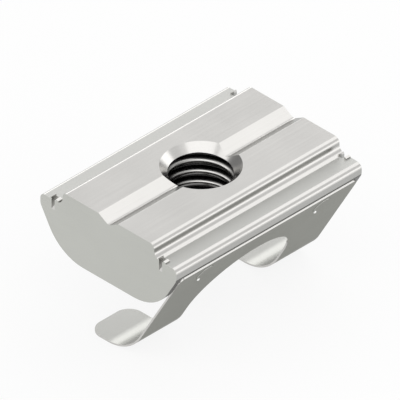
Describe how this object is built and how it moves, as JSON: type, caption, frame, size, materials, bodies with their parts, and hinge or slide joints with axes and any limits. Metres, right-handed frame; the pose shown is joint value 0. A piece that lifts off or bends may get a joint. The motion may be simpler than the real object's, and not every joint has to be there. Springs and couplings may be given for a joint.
{
  "type": "t slot nut",
  "caption": "Profiled steel nut for a T-slot with a central tapped hole and a bent leaf spring that holds it up against the slot's lips.",
  "frame": {"origin": "on the thread's axis, level with the two shoulders that bear on the slot's lips", "axes": "+X along the slot and the nut's length, the leaf spring on the -Y side, +Z along the thread, the way the bolt leaves"},
  "size_m": [0.02, 0.0149, 0.0119],
  "materials": {
    "nut_body": "bright drawn steel, fine lengthwise draw lines",
    "leaf_spring": "cold rolled spring steel, satin"
  },
  "bodies": {
    "root": {"nut_body": "nut_body", "leaf_spring": "leaf_spring"}
  },
  "joints": []
}
